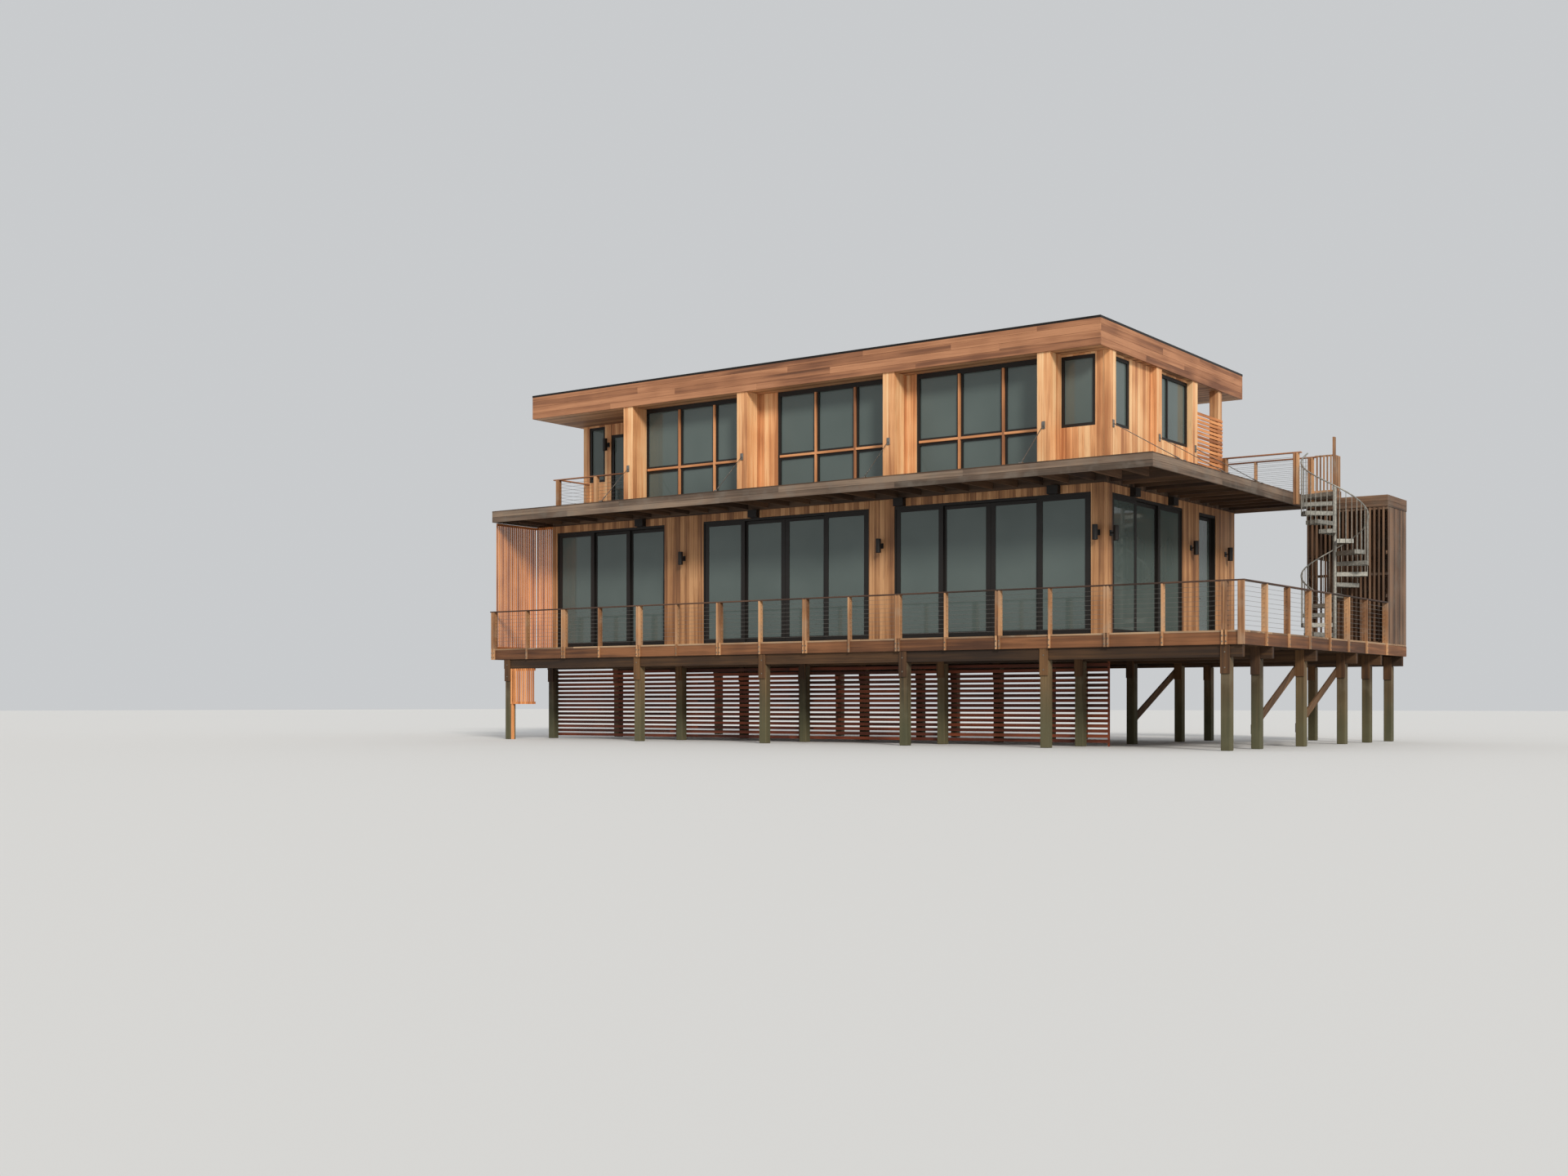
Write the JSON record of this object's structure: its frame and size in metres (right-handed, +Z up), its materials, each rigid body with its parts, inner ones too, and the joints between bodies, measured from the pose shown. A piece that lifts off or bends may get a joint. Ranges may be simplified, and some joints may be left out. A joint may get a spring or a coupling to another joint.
{
  "type": "beach house",
  "caption": "Two-storey flat-roofed timber house on piles, with sliding glass doors, a deck with cable rails, a rod-hung canopy and a spiral stair.",
  "frame": {"origin": "ground level under the middle of the main deck", "axes": "+Z up, +X along the front towards the spiral stair, the long glazed front looks along -Y"},
  "size_m": [20.11, 10.79, 8.957],
  "materials": {
    "cedar": "matte",
    "fascia_cedar": "matte",
    "weathered_cedar": "matte",
    "deck_timber": "matte",
    "treated_timber": "matte",
    "lattice_timber": "matte",
    "structure": "matte",
    "dark_frame": "satin",
    "black_metal": "matte",
    "stainless": "satin",
    "galvanised": "matte",
    "glass": "gloss"
  },
  "bodies": {
    "house": {"back_wall": "cedar", "balcony_railing": "deck_timber", "canopy_frame": "weathered_cedar", "catwalk_railing": "deck_timber", "deck_beams": "deck_timber", "deck_boards": "deck_timber", "deck_frame": "deck_timber", "door_headers": "cedar", "door_jambs": "dark_frame", "door_tracks": "dark_frame", "fixed_glass": "glass", "fixed_panels": "dark_frame", "front_fins": "cedar", "front_piers": "cedar", "front_railing": "deck_timber", "front_wall_upper": "cedar", "ground_floor": "structure", "left_slat_screens": "cedar", "left_wall": "cedar", "outriggers": "black_metal", "picket_guard": "deck_timber", "pile_braces": "treated_timber", "pile_cleats": "treated_timber", "piles": "treated_timber", "recess_walls": "cedar", "right_piers": "cedar", "right_railing": "deck_timber", "right_wall_upper": "cedar", "roof_fascia": "fascia_cedar", "roof_flashing": "dark_frame", "roof_slab": "structure", "side_fins": "cedar", "spiral_stair": "galvanised", "stair_railing": "galvanised", "terrace_screen": "cedar", "tie_rods": "stainless", "tower_boards": "weathered_cedar", "tower_cap": "weathered_cedar", "tower_slats": "weathered_cedar", "under_deck_lattice": "lattice_timber", "upper_floor": "weathered_cedar", "wall_lamps": "black_metal", "window_frames": "dark_frame", "window_glass": "glass"},
    "left_door_centre": {"left_door_centre_leaf": "dark_frame", "left_door_centre_glass": "glass"},
    "left_door_right": {"left_door_right_leaf": "dark_frame", "left_door_right_glass": "glass"},
    "middle_door_left": {"middle_door_left_leaf": "dark_frame", "middle_door_left_glass": "glass"},
    "middle_door_right": {"middle_door_right_leaf": "dark_frame", "middle_door_right_glass": "glass"},
    "right_door_left": {"right_door_left_leaf": "dark_frame", "right_door_left_glass": "glass"},
    "right_door_right": {"right_door_right_leaf": "dark_frame", "right_door_right_glass": "glass"},
    "side_slider": {"side_slider_leaf": "dark_frame", "side_slider_glass": "glass"},
    "side_door": {"side_door_leaf": "dark_frame", "side_door_glass": "glass"}
  },
  "joints": [
    {"name": "left_door_centre_slide", "type": "slide", "parent": "house", "child": "left_door_centre", "axis": [-1, 0, 0], "range_m": [0, 1.165]},
    {"name": "left_door_right_slide", "type": "slide", "parent": "house", "child": "left_door_right", "axis": [-1, 0, 0], "range_m": [0, 2.34]},
    {"name": "middle_door_left_slide", "type": "slide", "parent": "house", "child": "middle_door_left", "axis": [-1, 0, 0], "range_m": [0, 1.16]},
    {"name": "middle_door_right_slide", "type": "slide", "parent": "house", "child": "middle_door_right", "axis": [1, 0, 0], "range_m": [0, 1.16]},
    {"name": "right_door_left_slide", "type": "slide", "parent": "house", "child": "right_door_left", "axis": [-1, 0, 0], "range_m": [0, 1.17]},
    {"name": "right_door_right_slide", "type": "slide", "parent": "house", "child": "right_door_right", "axis": [1, 0, 0], "range_m": [0, 1.17]},
    {"name": "side_slider_slide", "type": "slide", "parent": "house", "child": "side_slider", "axis": [0, 1, 0], "range_m": [0, 1.2]},
    {"name": "side_door_hinge", "type": "hinge", "parent": "house", "child": "side_door", "pos_m": [6.24, 2.3675, 0], "axis": [0, 0, -1], "range_deg": [0, 95]}
  ]
}
